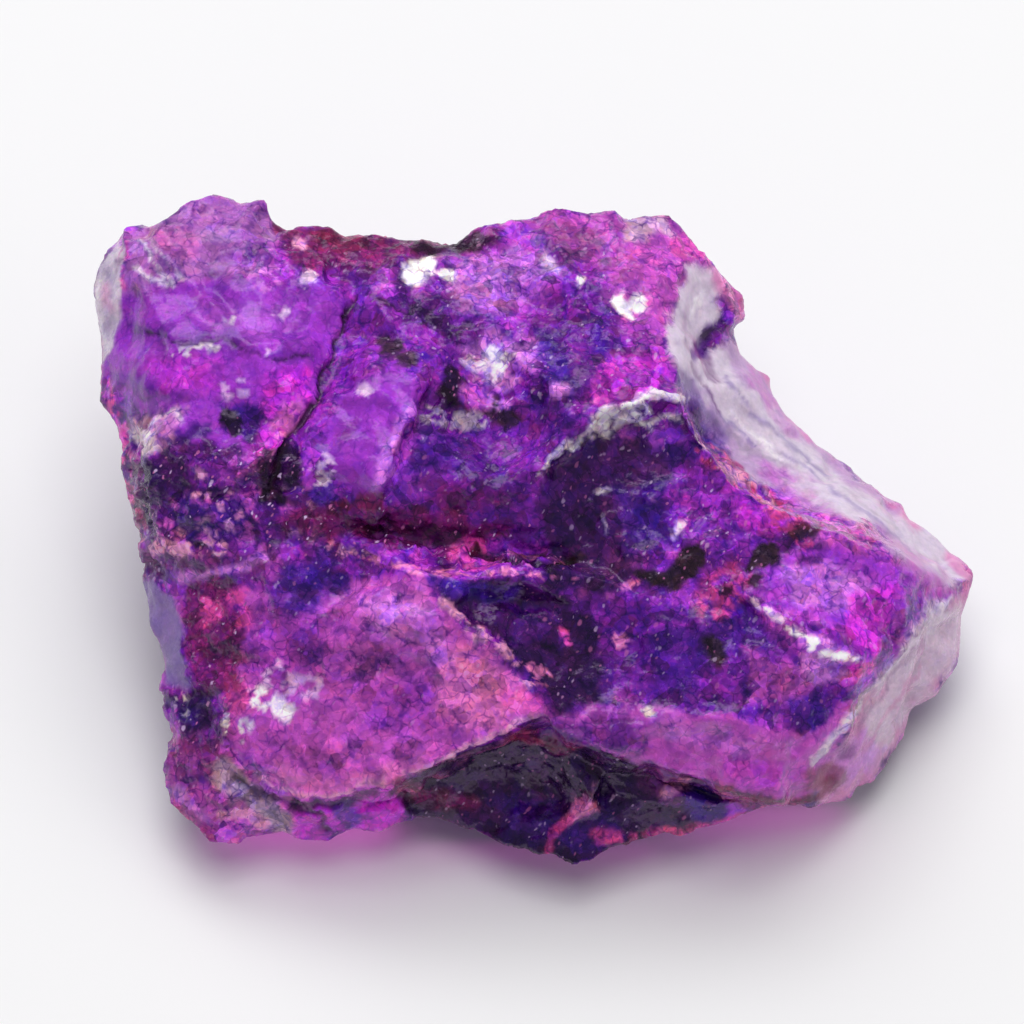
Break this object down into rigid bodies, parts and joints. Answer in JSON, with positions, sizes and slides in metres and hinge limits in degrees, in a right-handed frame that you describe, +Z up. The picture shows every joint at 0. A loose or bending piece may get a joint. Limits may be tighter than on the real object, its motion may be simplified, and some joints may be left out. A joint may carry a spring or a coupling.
{
  "type": "rough sapphire",
  "caption": "Broken lump of rough violet crystal with a flat back, conchoidal scars, ledges and a deep crack, resting on a small flat spot.",
  "frame": {"origin": "on the surface that the stone rests on, under the middle of its bounding box", "axes": "+X along the stone's length, from its blunt end to its pointed end; +Z up; the broad broken face looks up and towards -Y"},
  "size_m": [0.0442, 0.0324, 0.0172],
  "materials": {
    "violet_crystal": "glassy fractured violet crystal, translucent at its edges, with pink grains and dark inclusions"
  },
  "bodies": {
    "root": {"stone": "violet_crystal"}
  },
  "joints": []
}
